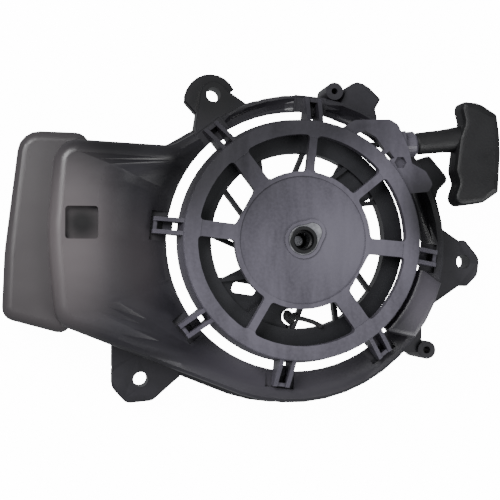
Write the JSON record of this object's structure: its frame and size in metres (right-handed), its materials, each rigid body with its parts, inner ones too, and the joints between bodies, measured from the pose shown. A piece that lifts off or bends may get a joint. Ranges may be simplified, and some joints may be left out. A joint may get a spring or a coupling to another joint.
{
  "type": "recoil starter",
  "caption": "Pull-cord recoil starter in a moulded blower housing, with spoked face, rope pulley and T-handle, for a vertical-shaft engine.",
  "frame": {"origin": "on the crankshaft axis, in the plane of the mounting flange", "axes": "+Z out of the top of the starter, away from the engine; +X towards the pull handle; +Y towards the rear lug"},
  "size_m": [0.4117, 0.2843, 0.094],
  "materials": {
    "case_plastic": "moulded, flow-streaked, satin",
    "housing_plastic": "moulded, satin",
    "pulley_plastic": "moulded, satin",
    "grip_plastic": "fine grain",
    "bush_plastic": "moulded, satin",
    "steel": "zinc plated",
    "spring_steel": "blued and oiled",
    "nylon": "moulded",
    "rope": "braided"
  },
  "bodies": {
    "housing": {"blower_housing": "housing_plastic", "duct_extension": "housing_plastic", "extension_screw_1": "steel", "extension_screw_2": "steel", "starter_case": "case_plastic", "centre_bush": "bush_plastic", "key_plate": "steel", "spring_cover": "steel", "recoil_spring": "spring_steel", "guide_bolt": "steel", "guide_washer": "steel", "friction_spring": "spring_steel", "rope_guide": "bush_plastic"},
    "pulley": {"pulley": "pulley_plastic", "rope_winding": "rope", "pulley_knot": "rope", "pawl_spring_1": "spring_steel", "pawl_spring_2": "spring_steel"},
    "ratchet": {"ratchet_guide": "nylon"},
    "pawl_1": {"pawl_1": "steel"},
    "pawl_2": {"pawl_2": "steel"},
    "handle": {"grip": "grip_plastic", "grip_cap": "grip_plastic", "grip_knot": "rope", "grip_washer": "steel", "rope_lead": "rope"}
  },
  "joints": [
    {"name": "pulley_spin", "type": "hinge", "parent": "housing", "child": "pulley", "pos_m": [0, 0, 0.065], "axis": [0, 0, 1], "range_deg": [-655, 0], "stiffness_Nm_per_rad": 0.02, "springref_deg": 229.18, "deforming": ["recoil_spring"]},
    {"name": "handle_pull", "type": "slide", "parent": "housing", "child": "handle", "axis": [0.9936, 0.1132, 0], "range_m": [0, 0.9], "deforming": ["rope_lead"]},
    {"name": "ratchet_turn", "type": "hinge", "parent": "pulley", "child": "ratchet", "pos_m": [0, 0, 0.05], "axis": [0, 0, 1], "range_deg": [0, 24]},
    {"name": "pawl_1_swing", "type": "hinge", "parent": "pulley", "child": "pawl_1", "pos_m": [0.02443, 0.00889, 0.0555], "axis": [0, 0, 1], "range_deg": [0, 24]},
    {"name": "pawl_2_swing", "type": "hinge", "parent": "pulley", "child": "pawl_2", "pos_m": [-0.02443, -0.00889, 0.0555], "axis": [0, 0, 1], "range_deg": [0, 24]}
  ],
  "couplings": [
    {"joint": "handle_pull", "follows": "pulley_spin", "m_per_rad": -0.0785},
    {"joint": "pawl_1_swing", "follows": "ratchet_turn", "ratio": 1},
    {"joint": "pawl_2_swing", "follows": "ratchet_turn", "ratio": 1}
  ]
}
